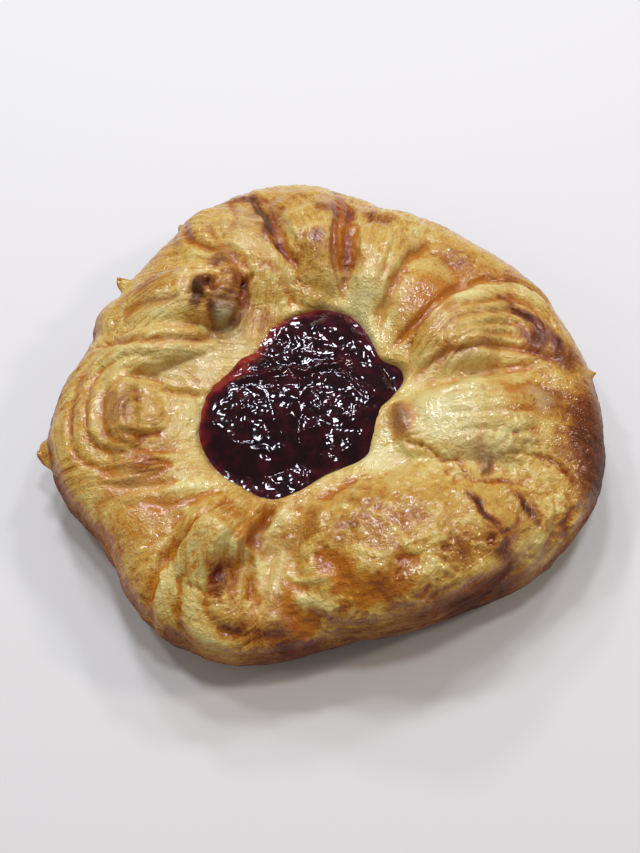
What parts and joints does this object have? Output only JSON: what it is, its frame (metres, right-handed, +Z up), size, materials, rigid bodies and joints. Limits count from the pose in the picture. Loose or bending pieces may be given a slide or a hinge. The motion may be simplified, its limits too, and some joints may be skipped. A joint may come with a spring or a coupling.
{
  "type": "danish pastry",
  "caption": "Round baked danish pastry: laminated, glazed dough folded in a thick uneven ring round a well filled with lumpy dark red jam.",
  "frame": {"origin": "on the flat base, under the middle of the pastry's outline box", "axes": "+Z up out of the jam; +X along the pastry's longest side, to the right in the picture; +Y away from the viewer"},
  "size_m": [0.1163, 0.1108, 0.0285],
  "materials": {
    "baked_dough": "baked laminated dough, golden brown, under a thin clear sugar glaze",
    "red_jam": "dark red fruit jam, wet and glossy"
  },
  "bodies": {
    "root": {"dough": "baked_dough", "jam_filling": "red_jam"}
  },
  "joints": []
}
